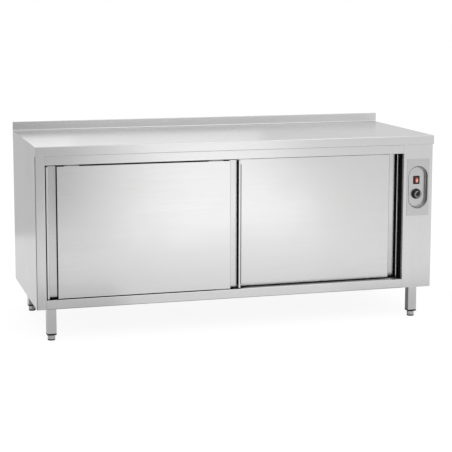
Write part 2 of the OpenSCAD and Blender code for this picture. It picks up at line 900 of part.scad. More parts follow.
// Motor with its bearing boss and flange, on four standoffs through the insulation
module fan_motor() color(dull) difference() {
    union() {
        translate([x_motor, fan_y, fan_z]) rotate([0, 90, 0]) {
            cylinder(r = motor_r, h = motor_len);
            cylinder(r = bearing[0], h = motor_len + bearing[1]);
            linear_extrude(motor_flange_t) soft_square(motor_flange, motor_flange, motor_flange_r);
        }
        standoff_places() translate([0, 0, x_open[1] + sheet])
            cylinder(r = standoff_r, h = x_motor - x_open[1] - sheet);
    }
    translate([x_motor - 1, fan_y, fan_z]) rotate([0, 90, 0])
        cylinder(r = shaft_r + running, h = motor_len + bearing[1] + 2);
}

wheel_gap = 10;
wheel_depth = 34;
wheel_x = [x_baffle + wheel_gap, x_baffle + wheel_gap + wheel_depth];
plate_t = 1.5;
hub_r = 14;
hub_in = 4;
ring_w = 26;
eye_r = 0.5 * fan_r;
blade_t = 1.2;
blade_bend = 46;
shaft_out = 2;

// Fan wheel: curved blades between a back plate and a front ring, on one shaft with its hub
module fan_wheel() color("lightsteelblue") translate([0, fan_y, fan_z]) rotate([0, 90, 0]) {
    translate([0, 0, wheel_x[1] - plate_t]) cylinder(r = fan_r, h = plate_t);
    translate([0, 0, wheel_x[0]]) linear_extrude(plate_t) difference() {
        circle(fan_r);
        circle(fan_r - ring_w);
    }
    translate([0, 0, wheel_x[0] + hub_in]) cylinder(r = hub_r, h = wheel_depth - hub_in);
    translate([0, 0, wheel_x[0]]) cylinder(r = shaft_r, h = x_motor + motor_len - wheel_x[0] + shaft_out);
    translate([0, 0, wheel_x[0] + plate_t]) linear_extrude(wheel_depth - 2 * plate_t)
        for (i = [0 : blade_count - 1]) rotate(i * 360 / blade_count) blade_section();
}

// A blade's section: an arc of thin plate that leans back from the eye to the rim
module blade_section() {
    intersection() {
        difference() {
            circle(fan_r - 1);
            circle(eye_r);
        }
        translate([eye_r, blade_bend]) difference() {
            circle(blade_bend);
            circle(blade_bend - blade_t);
        }
        translate([0, -blade_t]) square([fan_r, blade_bend + blade_t]);
    }
}

// Controls

plate_sheet = 1.2;
y_plate = y_face - plate_sheet;
y_dish = y_plate + dish_d;
dish_r = dish_w / 2;
dish_run = dish_h - dish_w;
dish_rim = 4;
press_r = [2, 1.2];
plate_corner = 2;
switch_z = panel_z + switch_up;
knob_z = panel_z - knob_down;

// Half section of the dish, from its middle out to the plate; x is radius, y is depth behind the plate
module dish_section() {
    t = plate_sheet;
    folded([
        [0, dish_d + t / 2],
        [dish_r + t / 2, dish_d + t / 2],
        [dish_r + t / 2, t / 2],
        [dish_r + dish_rim, t / 2]], t, press_r);
}

// Control plate with its pressed dish: two half turns joined by straight sides
module control_plate() color(brushed) difference() {
    translate([panel_x, y_plate, panel_z]) {
        for (end = [-1, 1]) translate([0, 0, end * dish_run / 2])
            rotate([-90, 0, 0]) rotate([0, 0, end > 0 ? 180 : 0]) rotate_extrude(angle = 180) dish_section();
        translate([0, 0, -dish_run / 2]) linear_extrude(dish_run) {
            dish_section();
            mirror([1, 0]) dish_section();
        }
        translate([0, plate_sheet, 0]) rotate([90, 0, 0]) linear_extrude(plate_sheet) difference() {
            soft_square(plate_w, plate_h, plate_corner);
            square([2 * (dish_r + dish_rim), dish_run], center = true);
            for (end = [-1, 1]) translate([0, end * dish_run / 2]) circle(dish_r + dish_rim);
        }
    }
    translate([panel_x, y_dish, switch_z]) cube([switch_w, 4 * plate_sheet, switch_h], center = true);
    translate([panel_x, y_dish, knob_z]) rotate([90, 0, 0])
        cylinder(r = bush_r, h = 4 * plate_sheet, center = true);
}

switch_w = 22;
switch_h = 29;
switch_d = 26;
bezel_t = 2.5;
bezel_corner = 2;
switch_wall = 1;
rocker_room = 13;
tab = [0.8, 8, 6.3];
tab_at = 6;
pin_r = 1.5;

// Housing of the rocker switch: bezel, box with its tabs, and the pin that the rocker turns on
module switch_housing() color(black) translate([panel_x, y_dish, switch_z]) {
    difference() {
        union() {
            along_y(-bezel_t, 0) soft_square(bezel_w, bezel_h, bezel_corner);
            along_y(0, switch_d) square([switch_w, switch_h], center = true);
            for (x = [-tab_at, tab_at]) along_y(switch_d, switch_d + tab.y)
                translate([x, 0]) square([tab.x, tab.z], center = true);
        }
        block([-switch_w / 2 + switch_wall, -bezel_t - 1, -switch_h / 2 + switch_wall],
            [switch_w / 2 - switch_wall, rocker_room, switch_h / 2 - switch_wall]);
    }
    translate([0, rocker_pivot, 0]) cylinder(r = pin_r, h = switch_h - switch_wall, center = true);
}

rocker_w = 17.6;
rocker_h = 26.2;
rocker_tilt = 9;
rocker_pivot = 3;
rocker_dip = 5.5;
lens_x = [-5, 8];
lens_t = 1.4;
lens_edge = 1.5;
lens_proud = 0.2;
rocker_back = [2, 6];
rocker_heel = 4;

// Front of the rocker, seen from above: a shallow V about its pivot
function rocker_front(x) = -rocker_dip - abs(x) * tan(rocker_tilt);

// At rest the rocker is switched on, with its left end pressed in
module rocker_pose() {
    translate([panel_x, y_dish + rocker_pivot, switch_z]) rotate([0, 0, -rocker_tilt]) children();
}

// Section of the lens, standing out of the rocker's front by proud
module lens_section(proud) {
    front = [for (x = [lens_x[0], 0, lens_x[1]]) [x, rocker_front(x) - proud]];
    back = [for (x = [lens_x[1], 0, lens_x[0]]) [x, rocker_front(x) + lens_t]];
    polygon(concat(front, back));
}

module switch_rocker() color(black) rocker_pose() difference() {
    w = rocker_w / 2;
    along_z(-rocker_h / 2, rocker_h / 2) polygon([
        [-w, rocker_front(w)],
        [0, -rocker_dip],
        [w, rocker_front(w)],
        [w, rocker_back[0]],
        [rocker_heel, rocker_back[1]],
        [-rocker_heel, rocker_back[1]],
        [-w, rocker_back[0]]]);
    along_z(-rocker_h / 2 + lens_edge, rocker_h / 2 - lens_edge) lens_section(1);
    cylinder(r = pin_r + running, h = rocker_h + 2, center = true);
}

module switch_lens() color("orangered") rocker_pose()
    along_z(-rocker_h / 2 + lens_edge, rocker_h / 2 - lens_edge) lens_section(lens_proud);

bush_r = 6;
spindle_r = 3;
spindle_len = 17;
thermo = [44, 30, 50];

// Thermostat behind the dish, its bush in the dish's hole and its bore for the knob's spindle
module thermostat_body() color(dull) difference() {
    union() {
        translate([panel_x - thermo.x / 2, y_dish + plate_sheet, knob_z - thermo.z / 2]) cube(thermo);
        translate([panel_x, y_dish, knob_z]) rotate([-90, 0, 0]) cylinder(r = bush_r, h = plate_sheet + 1);
    }
    translate([panel_x, y_dish - 1, knob_z]) rotate([-90, 0, 0])
        cylinder(r = spindle_r + running, h = spindle_len + 2);
}

skirt_t = 5;
skirt_bevel = [1.5, 3];
skirt_rise = 0.6;
grip_r = 18;
grip_draft = 0.8;
grip_edge = 1;
flute_count = 20;
flute_r = 1.5;
flute_out = 1.2;
knob_gap = 0.6;

// Knob with a graduated skirt, a fluted grip and the spindle that it is pressed on
module thermostat_knob() color(black) translate([panel_x, y_dish - knob_gap, knob_z]) rotate([90, 0, 0]) {
    grip_z = skirt_t + skirt_rise;
    difference() {
        rotate_extrude() polygon([
            [0, 0],
            [knob_r, 0],
            [knob_r, skirt_t - skirt_bevel[1]],
            [knob_r - skirt_bevel[0], skirt_t],
            [grip_r + grip_draft, grip_z],
            [grip_r, knob_h - grip_edge],
            [grip_r - grip_edge, knob_h],
            [0, knob_h]]);
        for (i = [0 : flute_count - 1]) rotate(i * 360 / flute_count)
            translate([grip_r + flute_out, 0, grip_z]) cylinder(r = flute_r, h = knob_h);
    }
    translate([0, 0, -spindle_len]) cylinder(r = spindle_r, h = spindle_len + 1);
}

capillary_r = 1;
bulb_r = 4;
bulb_len = 90;
bulb_clips = [25, 75];
bulb_clip_h = 6;
bulb_clip_wall = 1;
sensor_off = [30, 120];
sensor_y = fan_y + element_r + sensor_off[0];
sensor_z = fan_z - sensor_off[1];
bulb_stand = 14;
bulb_x = x_open[1] - bulb_stand;
bulb_rise = 10;
capillary_off = [14, 10];
capillary_x = panel_x + capillary_off[0];

// A thin tube between two points that differ along one axis, with a ball at its start
module tube_run(p, q) {
    d = q - p;
    translate(p) {
        sphere(r = capillary_r, $fn = 16);
        rotate([0, acos(d.z / norm(d)), atan2(d.y, d.x)]) cylinder(r = capillary_r, h = norm(d), $fn = 16);
    }
}

// Sensor bulb behind the baffle on two clips, and its capillary tube from the thermostat
module thermostat_sensor() color("peru") {
    start = [capillary_x, y_dish + plate_sheet + thermo.y + capillary_r, knob_z + capillary_off[1]];
    bulb_z = sensor_z + bulb_rise;
    route = [
        start,
        [capillary_x, sensor_y, start.z],
        [capillary_x, sensor_y, sensor_z],
        [bulb_x, sensor_y, sensor_z],
        [bulb_x, sensor_y, bulb_z]];
    for (i = [0 : len(route) - 2]) tube_run(route[i], route[i + 1]);
    translate([bulb_x, sensor_y, bulb_z]) cylinder(r = bulb_r, h = bulb_len);
    half = bulb_r + bulb_clip_wall;
    for (z = bulb_clips) translate([bulb_x, sensor_y - half, bulb_z + z])
        cube([bulb_stand, 2 * half, bulb_clip_h]);
}

terminal_pitch = 14;
terminal_count = 4;
terminal_place = [panel_x + 10, y_rear - 200, z_in];
terminal_base = [68, 24, 5];
terminal_post = [12, 20, 18];
terminal_hole = [2, 6];
terminal_hole_y = 5;

// Terminal block on the base tray: a row of posts, each with two screw holes
module terminal_block() color("white") translate(terminal_place) difference() {
    post_x = [for (i = [0 : terminal_count - 1]) (i - (terminal_count - 1) / 2) * terminal_pitch];
    union() {
        translate([-terminal_base.x / 2, -terminal_base.y / 2, 0]) cube(terminal_base);
        for (x = post_x) translate([x - terminal_post.x / 2, -terminal_post.y / 2, terminal_base.z])
            cube(terminal_post);
    }
    for (x = post_x, y = [-terminal_hole_y, terminal_hole_y])
        translate([x, y, terminal_base.z + terminal_post.z - terminal_hole[1]])
            cylinder(r = terminal_hole[0], h = terminal_hole[1] + 1);
}

hex_r = 14;
gland_hex_h = 7;
gland_nut_h = 5;
gland_dome = [12, 17];
gland_mouth_r = 7;
gland_bore_r = 5;

// Cable gland under the control bay: dome nut, hexagon, threaded neck through the tray and lock nut
module cable_gland() color(black) translate([gland_x, gland_y, 0]) difference() {
    union() {
        translate([0, 0, z_in]) cylinder(r = hex_r, h = gland_nut_h, $fn = 6);
        translate([0, 0, z_bot - 1]) cylinder(r = gland_r, h = 1 + sheet + 1.6 * gland_nut_h);
        translate([0, 0, z_bot - gland_hex_h]) cylinder(r = hex_r, h = gland_hex_h, $fn = 6);
        translate([0, 0, z_bot - gland_hex_h - gland_dome[1]]) rotate_extrude() polygon([
            [0, 0],
            [gland_mouth_r, 0],
            [gland_dome[0] - 1, 0.3 * gland_dome[1]],
            [gland_dome[0], gland_dome[1]],
            [0, gland_dome[1]]]);
    }
    translate([0, 0, z_bot - 2 * hex_r]) cylinder(r = gland_bore_r, h = 4 * hex_r);
}

// Legs

leg_x = [-half_w + leg_left + leg_w / 2, half_w - leg_right - leg_w / 2];
leg_y = [y_face + leg_front + leg_w / 2, y_back - leg_back - leg_w / 2];
foot_play = 0.2;
z_plug = foot_h + foot_play;
leg_r = 3;
leg_cap = 3;
bolt_r = 5;
bolt_below = 6;
bolt_head_r = 9.8;
bolt_head_h = 6.4;

module leg_place(i, j) {
    translate([leg_x[i], leg_y[j], 0]) children();
}

module leg_places() {
    for (i = [0, 1], j = [0, 1]) leg_place(i, j) children();
}

// Square tube with a welded top plate that takes the bolt
module leg() {
    inside = leg_w - 2 * leg_wall;
    difference() {
        along_z(z_plug + plug_rim, z_bot) soft_square(leg_w, leg_w, leg_r);
        along_z(z_plug + plug_rim - 1, z_bot - leg_cap) soft_square(inside, inside, leg_r - leg_wall / 2);
        translate([0, 0, z_bot - leg_cap - 1]) cylinder(r = bolt_r, h = leg_cap + 2);
    }
}

module leg_front_left() color(brushed) leg_place(0, 0) leg();

module leg_front_right() color(brushed) leg_place(1, 0) leg();

module leg_rear_left() color(brushed) leg_place(0, 1) leg();

module leg_rear_right() color(brushed) leg_place(1, 1) leg();

module leg_bolts() color(dull) leg_places() {
    translate([0, 0, z_in]) cylinder(r = bolt_head_r, h = bolt_head_h, $fn = 6);
    translate([0, 0, z_bot - leg_cap - bolt_below]) cylinder(r = bolt_r, h = leg_cap + bolt_below + sheet);
}

plug_h = 29;

// Plug in the end of each leg, with the threaded bore of the levelling foot
module leg_plugs() color("black") leg_places() difference() {
    inside = leg_w - 2 * leg_wall;
    union() {
        along_z(z_plug, z_plug + plug_rim) soft_square(leg_w, leg_w, leg_r);
        along_z(z_plug + plug_rim, z_plug + plug_h) soft_square(inside, inside, leg_r - leg_wall / 2);
    }
    translate([0, 0, z_plug - 1]) cylinder(r = stem_r + running, h = plug_h + 2);
}

pad_h = 5.5;
pad_edge = 1;
groove = [1.4, 0.6];
foot_shoulder = [3.5, 2];

// Levelling foot: a cup on a rubber pad with a groove between them, and the stem that turns in the plug
module foot() {
    r = foot_d / 2;
    rotate_extrude() polygon([
        [0, 0],
        [r - pad_edge, 0],
        [r, pad_edge],
        [r, pad_h - groove[1]],
        [r - groove[0], pad_h - groove[1] / 2],
        [r - groove[0], pad_h + groove[1] / 2],
        [r, pad_h + groove[1]],
        [r, foot_h - foot_shoulder[1]],
        [r - foot_shoulder[0], foot_h],
        [0, foot_h]]);
    cylinder(r = stem_r, h = z_plug + plug_h - 2 * foot_shoulder[1]);
}

module foot_front_left() color(dull) leg_place(0, 0) foot();

module foot_front_right() color(dull) leg_place(1, 0) foot();

module foot_rear_left() color(dull) leg_place(0, 1) foot();

module foot_rear_right() color(dull) leg_place(1, 1) foot();

worktop();
worktop_channels();
left_side_panel();
right_side_panel();
left_stile();
front_header();
bottom_rail();
control_fascia();
back_panel();
base_tray();
left_liner();
bay_partition();
back_liner();
chamber_floor();
chamber_ceiling();
side_insulation();
back_insulation();
top_insulation();
base_insulation();
door_track();
door_guides();
shelf_uprights();
shelf_brackets();
shelf();
air_baffle();
ring_heater();
fan_motor();
fan_wheel();
control_plate();
switch_housing();
switch_rocker();
switch_lens();
thermostat_body();
thermostat_sensor();
thermostat_knob();
terminal_block();
cable_gland();
back_screws();
leg_front_left();
leg_front_right();
leg_rear_left();
leg_rear_right();
leg_plugs();
leg_bolts();
foot_front_left();
foot_front_right();
foot_rear_left();
foot_rear_right();
left_door_front();
left_door_back();
left_door_insulation();
left_door_hangers();
left_door_roller_outer();
left_door_roller_inner();
right_door_front();
right_door_back();
right_door_insulation();
right_door_hangers();
right_door_roller_inner();
right_door_roller_outer();
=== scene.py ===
"""Looks of the plate warmer cabinet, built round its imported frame.

Lengths are in metres in the frame's own axes: X across the front, -Y out of the front, Z up from the floor.
"""
import json
import math

import bmesh
import bpy
from mathutils import Matrix, Vector


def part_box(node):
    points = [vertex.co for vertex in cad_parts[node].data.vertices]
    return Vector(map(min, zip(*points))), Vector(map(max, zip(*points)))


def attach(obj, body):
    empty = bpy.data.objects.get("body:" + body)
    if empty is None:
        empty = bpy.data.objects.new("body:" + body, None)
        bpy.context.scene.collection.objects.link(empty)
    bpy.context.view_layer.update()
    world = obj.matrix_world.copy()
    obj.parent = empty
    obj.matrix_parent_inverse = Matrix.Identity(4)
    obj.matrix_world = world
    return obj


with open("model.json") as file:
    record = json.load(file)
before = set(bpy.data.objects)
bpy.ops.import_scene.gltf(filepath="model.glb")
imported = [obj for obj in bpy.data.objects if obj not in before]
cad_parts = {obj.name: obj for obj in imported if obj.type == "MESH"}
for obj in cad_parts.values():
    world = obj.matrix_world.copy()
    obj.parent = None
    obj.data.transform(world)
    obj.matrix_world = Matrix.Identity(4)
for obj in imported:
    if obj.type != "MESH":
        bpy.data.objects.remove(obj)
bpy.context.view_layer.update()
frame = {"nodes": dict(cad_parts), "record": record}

NODES = frame["nodes"]
SCENE = bpy.context.scene

# The photograph and its camera
PHOTO_PX = 452
SENSOR_MM = 36.0
FOCAL_PX = 1373.1
OPTICAL_AXIS_ROW_PX = 180.0
CAMERA_PLACE = Vector((-1.7080, -5.9960, 1.4777))
CAMERA_DOWN = math.radians(7.894)
CAMERA_RIGHT = math.radians(16.131)
CAMERA_ROLL = math.radians(0.098)
CAMERA_FAR = 60.0


def make_camera():
    """The photograph's camera, whose optical axis lies above the middle of the picture."""
    data = bpy.data.cameras.new("camera")
    data.sensor_width = SENSOR_MM
    data.lens = FOCAL_PX * SENSOR_MM / PHOTO_PX
    data.shift_y = (OPTICAL_AXIS_ROW_PX - PHOTO_PX / 2) / PHOTO_PX
    data.clip_end = CAMERA_FAR
    camera = bpy.data.objects.new("camera", data)
    turn = (
        Matrix.Rotation(-CAMERA_RIGHT, 4, "Z")
        @ Matrix.Rotation(math.pi / 2 - CAMERA_DOWN, 4, "X")
        @ Matrix.Rotation(CAMERA_ROLL, 4, "Z")
    )
    camera.matrix_world = Matrix.Translation(CAMERA_PLACE) @ turn
    SCENE.collection.objects.link(camera)
    SCENE.camera = camera


# Shader helpers

SEAM_SAMPLES = 8
# Walls that face left, and the upright folds beside them, are painted dark as a painted reflection
# How far a surface faces right, over the range where a wall stops counting as one that faces left
LEFT_WALL = (-0.95, -0.7)
# How far a surface faces left, where a fold begins at the front and where it ends in a wall
BEND_STARTS = (0.12, 0.4)
BEND_ENDS = (0.93, 0.99)


class Graph:
    """The nodes of a material or world, with short calls that add to them."""

    def __init__(self, tree):
        self.nodes, self.links = tree.nodes, tree.links

    def feed(self, socket, value):
        """Links an output to a socket, or sets the socket's own value."""
        if isinstance(value, bpy.types.NodeSocket):
            self.links.new(value, socket)
        else:
            socket.default_value = value

    def node(self, kind, **inputs):
        """A new node with its inputs fed; an underscore in a name stands for a space."""
        made = self.nodes.new(kind)
        for name, value in inputs.items():
            self.feed(made.inputs[name.replace("_", " ")], value)
        return made

    def maths(self, operation, *values):
        made = self.nodes.new("ShaderNodeMath")
        made.operation = operation
        for socket, value in zip(made.inputs, values):
            self.feed(socket, value)
        return made.outputs[0]


def new_material(name):
    material = bpy.data.materials.new(name)
    material.use_nodes = True
    return material


class Shader(Graph):
    """A material under construction, with the nodes that the finishes share."""

    def __init__(self, name):
        self.material = new_material(name)
        super().__init__(self.material.node_tree)
        self.bsdf = self.nodes["Principled BSDF"]
        self.place = self.nodes.new("ShaderNodeTexCoord").outputs["Object"]

    def set(self, **values):
        """Plain values on the surface shader's own sockets; an underscore stands for a space."""
        for name, value in values.items():
            self.bsdf.inputs[name.replace("_", " ")].default_value = value

    def noise(self, scale, detail=3.0, roughness=0.55, stretch=(1.0, 1.0, 1.0),
              shift=(0.0, 0.0, 0.0)):
        """Noise over the object's own coordinates, drawn out where stretch is small. It averages 0.5."""
        mapped = self.node("ShaderNodeMapping", Vector=self.place, Scale=stretch, Location=shift)
        made = self.node("ShaderNodeTexNoise", Vector=mapped.outputs["Vector"], Scale=scale, Detail=detail,
                         Roughness=roughness)
        return made.outputs["Fac"]

    def remap(self, value, low, high, from_low=0.25, from_high=0.75):
        """Takes a value from one range to another, held within the new one."""
        made = self.node("ShaderNodeMapRange", Value=value, From_Min=from_low, From_Max=from_high,
                         To_Min=low, To_Max=high)
        return made.outputs["Result"]

    def mix(self, factor, first, second):
        made = self.nodes.new("ShaderNodeMix")
        made.data_type = "RGBA"
        self.feed(made.inputs["Factor"], factor)
        self.feed(made.inputs["A"], first)
        self.feed(made.inputs["B"], second)
        return made.outputs["Result"]

    def openness(self, reach, closed, clear):
        """0 deep in slots and seams narrower than reach, 1 where the surface lies open; it masks the shade
        painted into seams.
        """
        made = self.node("ShaderNodeAmbientOcclusion", Distance=reach)
        made.samples = SEAM_SAMPLES
        return self.remap(made.outputs["AO"], 0.0, 1.0, closed, clear)

    def split_place(self):
        return self.node("ShaderNodeSeparateXYZ", Vector=self.place).outputs

    def sideways(self):
        """The X part of the surface's direction: -1 on walls that face left, 1 to the right."""
        normal = self.nodes.new("ShaderNodeNewGeometry").outputs["True Normal"]
        return self.node("ShaderNodeSeparateXYZ", Vector=normal).outputs["X"]

    def depth(self, front):
        """How far the surface lies behind a front plane."""
        return self.maths("SUBTRACT", self.split_place()["Y"], front)

    def off_left_walls(self, front, darkens):
        """0 on walls that face left, 1 on all others and down to the depths in darkens; it masks the dark
        painted on these walls as a painted reflection.
        """
        near = self.remap(self.depth(front), 1.0, 0.0, *darkens)
        return self.maths("MAXIMUM", near, self.remap(self.sideways(), 0.0, 1.0, *LEFT_WALL))

    def deeper(self, front, behind):
        """1 on all that lies deeper than behind, 0 on the rest."""
        return self.maths("GREATER_THAN", self.depth(front), behind)

    def off_bends(self):
        """0 on upright folds between a front and a wall that faces left, 1 on all flat faces; it masks the
        dark painted on these folds as a painted reflection.
        """
        side = self.maths("MULTIPLY", self.sideways(), -1.0)
        return self.maths("ADD", self.remap(side, 1.0, 0.0, *BEND_STARTS),
                          self.remap(side, 0.0, 1.0, *BEND_ENDS))

    def colour(self, value):
        self.feed(self.bsdf.inputs["Base Color"], value)

    def roughness(self, value):
        self.feed(self.bsdf.inputs["Roughness"], value)

    def bumps(self, *layers):
        """Stacks (height, strength, depth in metres) layers into the surface normal."""
        normal = None
        for height, strength, depth in layers:
            bump = self.node("ShaderNodeBump", Height=height, Strength=strength, Distance=depth)
            if normal is not None:
                self.links.new(normal, bump.inputs["Normal"])
            normal = bump.outputs["Normal"]
        self.links.new(normal, self.bsdf.inputs["Normal"])


def grey(level, warm=0.0):
    """A linear grey; warm above 0 leans to yellow, below 0 to blue."""
    return (level * (1 + warm), level, level * (1 - warm), 1.0)


# Metal finishes

# Noise scales of the brush marks and, as shares of them, of the soft streaks
GRAIN_ACROSS = 620.0
GRAIN_ALONG = 5.0
STREAKS_ACROSS = 0.12
STREAKS_ALONG = 0.4
# How far the steel's tone strays, the share of it that handling leaves, and the spread of its roughness
TONE_SPREAD = 0.015
HANDLED_TONE = 0.96
HANDLED_WARMTH = 0.008
ROUGH_SPREAD = 0.03
# Each seam, painted dark as shade: how far its walls are looked for, and the opennesses at which it is dark
# and clear
OPEN_SEAM = (0.020, 0.05, 0.4)
DOOR_SEAM = (0.010, 0.05, 0.3)
DISH_SEAM = (0.018, 0.3, 0.75)
WIDE_SEAM = (0.060, 0.5, 0.9)
# The colour painted as shade into seams, and as a painted reflection onto walls and folds that face left
PAINTED_DARK = grey(0.008)
# The depths behind a front over which its walls that face left are painted dark, as a painted reflection
DOOR_WALL = (0.0, 0.001)
DISH_WALL = (0.001, 0.003)
FASCIA_WALL = (0.002, 0.020)
# The backs of the finger pulls lie deeper than this; each door's have a slope and a share of the tone, the
# share darkening them as painted shade in the pull
PULL_BACK = 0.030
PULLS = {"left_door_front": (0.105, 0.96), "right_door_front": (0.148, 0.77)}


def grain_stretch(direction, along=1.0, across=1.0):
    """Noise scales that draw marks out along one axis, as shares of the brush marks' scales."""
    return tuple(along * GRAIN_ALONG if axis == direction else across * GRAIN_ACROSS for axis in "XYZ")


def brushed_steel(name, direction, level=0.64, rough=0.22, seed=0.0, seam=OPEN_SEAM, walls=None,
                  wall_shine=0.0, bend_shine=1.0, pull=None):
    """Stainless sheet with fine brush marks along one axis, long soft streaks and faint handling marks.

    Seams are painted dark as shade. Walls that face left are painted dark too, as a painted reflection,
    where walls gives the front plane and the depths over which they darken: they keep the share wall_shine
    of their shine, and the upright folds beside them, painted dark the same way, bend_shine. The backs of
    finger pulls slope a little and take a darker tone as painted shade, where pull gives the front plane,
    the slope to the right and the share of the tone.
    """
    shader = Shader(name)
    fine = shader.noise(1.0, 2.0, 0.6, grain_stretch(direction), (seed, seed, seed))
    streaks = shader.noise(1.0, 2.0, 0.5, grain_stretch(direction, STREAKS_ALONG, STREAKS_ACROSS),
                           (seed, 2.0, seed))
    marks = shader.noise(3.2, 4.0, 0.6, shift=(seed, 0.0, 3.0))
    tone = shader.mix(shader.remap(streaks, 0.0, 1.0), grey(level * (1 - TONE_SPREAD)),
                      grey(level * (1 + TONE_SPREAD)))
    tone = shader.mix(shader.remap(marks, 0.0, 0.4, 0.45, 0.8), tone,
                      grey(level * HANDLED_TONE, HANDLED_WARMTH))
    shader.roughness(shader.maths("ADD", shader.remap(fine, rough - ROUGH_SPREAD, rough + ROUGH_SPREAD),
                                  shader.remap(marks, -ROUGH_SPREAD / 2, ROUGH_SPREAD, 0.4, 0.75)))
    layers = [(fine, 0.05, 0.00004), (streaks, 0.03, 0.0001)]
    if pull:
        front, slope, share = pull
        in_pull = shader.deeper(front, PULL_BACK)
        # Painted shade: the backs of the pulls take a darker tone, the given share of the steel's
        tone = shader.mix(in_pull, tone, grey(level * share))
        layers.append((shader.maths("MULTIPLY", shader.split_place()["X"], in_pull), 1.0, slope))
    shader.bumps(*layers)
    # Painted shade: seams lose their shine and take the painted dark
    shine = shader.openness(*seam)
    # Painted reflection: walls that face left keep only wall_shine of the steel and take the painted dark
    if walls:
        kept = shader.remap(shader.off_left_walls(*walls), wall_shine, 1.0, 0.0, 1.0)
        shine = shader.maths("MULTIPLY", shine, kept)
    # Painted reflection: the upright folds keep only bend_shine of the steel and take the painted dark
    if bend_shine < 1.0:
        kept = shader.remap(shader.off_bends(), bend_shine, 1.0, 0.0, 1.0)
        shine = shader.maths("MULTIPLY", shine, kept)
    # Where shine is low the colour is painted dark: painted shade in seams, a painted reflection on walls
    # and folds
    shader.colour(shader.mix(shine, PAINTED_DARK, tone))
    shader.feed(shader.bsdf.inputs["Metallic"], shine)
    shader.set(Specular_IOR_Level=0.0)
    return shader.material


def plated_steel(name, level=0.55, warm=0.03):
    """Zinc plated steel: a faint spangle, patchy shine and a slightly warm cast."""
    shader = Shader(name)
    spangle = shader.node("ShaderNodeTexVoronoi", Vector=shader.place, Scale=180.0).outputs["Color"]
    spots = shader.node("ShaderNodeSeparateColor", Color=spangle).outputs[0]
    haze = shader.noise(22.0, 4.0)
    tone = shader.mix(shader.remap(spots, 0.0, 1.0, 0.0, 1.0), grey(level * 0.92, warm),
                      grey(level * 1.06, warm))
    shader.colour(shader.mix(shader.remap(haze, 0.0, 0.6), tone, grey(level * 0.8, warm * 1.5)))
    shader.set(Metallic=1.0)
    shader.roughness(shader.remap(haze, 0.34, 0.5))
    shader.bumps((haze, 0.08, 0.0002))
    return shader.material


def aluminium(name, direction):
    """Extruded or cast aluminium: paler than the steel, with drawn lines along it."""
    shader = Shader(name)
    lines = shader.noise(1.0, 2.0, 0.5, grain_stretch(direction))
    haze = shader.noise(14.0, 3.0)
    shader.colour(shader.mix(shader.remap(lines, 0.0, 1.0), grey(0.62, -0.01), grey(0.7, -0.005)))
    shader.set(Metallic=1.0)
    shader.roughness(shader.remap(haze, 0.33, 0.46))
    shader.bumps((lines, 0.12, 0.0001))
    return shader.material


# Height of the rubber pad under each foot
PAD_TOP = 0.0055
PAD_BLACK = grey(0.014)
PAD_ROUGH = 0.7


def turned_foot(name):
    """A turned steel foot with fine lathe rings, standing on a black rubber pad."""
    shader = Shader(name)
    height = shader.split_place()["Z"]
    rings = shader.noise(1.0, 1.0, 0.5, (30.0, 30.0, 2600.0))
    haze = shader.noise(60.0, 3.0)
    steel = shader.mix(shader.remap(rings, 0.0, 1.0), grey(0.46), grey(0.62))
    steel = shader.mix(shader.remap(haze, 0.0, 0.5, 0.4, 0.8), steel, grey(0.36, 0.03))
    is_steel = shader.maths("GREATER_THAN", height, PAD_TOP)
    shader.colour(shader.mix(is_steel, PAD_BLACK, steel))
    shader.feed(shader.bsdf.inputs["Metallic"], is_steel)
    shader.roughness(shader.mix(is_steel, grey(PAD_ROUGH), shader.remap(haze, 0.26, 0.4)))
    shader.bumps((rings, 0.15, 0.0002))
    return shader.material


def heater_sheath(name):
    """The dull dark sheath of a tubular heater, blued by heat in patches."""
    shader = Shader(name)
    heat = shader.noise(26.0, 4.0)
    brown, blue = (0.10, 0.095, 0.09, 1.0), (0.13, 0.11, 0.14, 1.0)
    shader.colour(shader.mix(shader.remap(heat, 0.0, 1.0), brown, blue))
    shader.set(Metallic=0.85)
    shader.roughness(shader.remap(heat, 0.42, 0.62))
    shader.bumps((shader.noise(420.0, 2.0), 0.2, 0.0002))
    return shader.material


def drawn_copper(name):
    """A drawn copper bulb and capillary with tarnish."""
    shader = Shader(name)
    tarnish = shader.noise(48.0, 4.0)
    bright, dull = (0.78, 0.36, 0.20, 1.0), (0.42, 0.19, 0.11, 1.0)
    shader.colour(shader.mix(shader.remap(tarnish, 0.0, 1.0), bright, dull))
    shader.set(Metallic=1.0)
    shader.roughness(shader.remap(tarnish, 0.25, 0.45))
    shader.bumps((tarnish, 0.1, 0.0002))
    return shader.material


# Other finishes

BLACK = (0.012, 0.012, 0.013, 1.0)
WHITE_NYLON = (0.72, 0.71, 0.66, 1.0)
# A rubbed patch is lighter by a share and by a little more
RUBBED = (1.35, 0.004)


def moulded_plastic(name, tone, rough=0.42, grain=900.0):
    """Moulded plastic with the fine grain of its tool and slightly rubbed patches."""
    shader = Shader(name)
    rub = shader.noise(40.0, 3.0)
    rubbed = tuple(min(1.0, part * RUBBED[0] + RUBBED[1]) for part in tone[:3]) + (1.0,)
    shader.colour(shader.mix(shader.remap(rub, 0.0, 0.7), tone, rubbed))
    shader.set(IOR=1.5, Specular_IOR_Level=0.2)
    shader.roughness(shader.remap(rub, rough - 0.08, rough + 0.08))
    shader.bumps((shader.noise(grain, 1.0), 0.12, 0.00015))
    return shader.material


# The glow in the lens: how far it is off the middle and half its size, across and up. The glow is the lamp's
# own light; set right of and below the middle, it leaves the lens's left dark as painted shade
GLOW_OFF = (0.0018, -0.0032)
GLOW_SIZE = (0.0060, 0.0105)
GLOW_EDGE = (0.45, 0.04, 0.02, 1.0)
GLOW_HEART = (0.90, 0.44, 0.33, 1.0)
LENS_RED = (0.12, 0.012, 0.014, 1.0)
LENS_RIBS = 2600.0


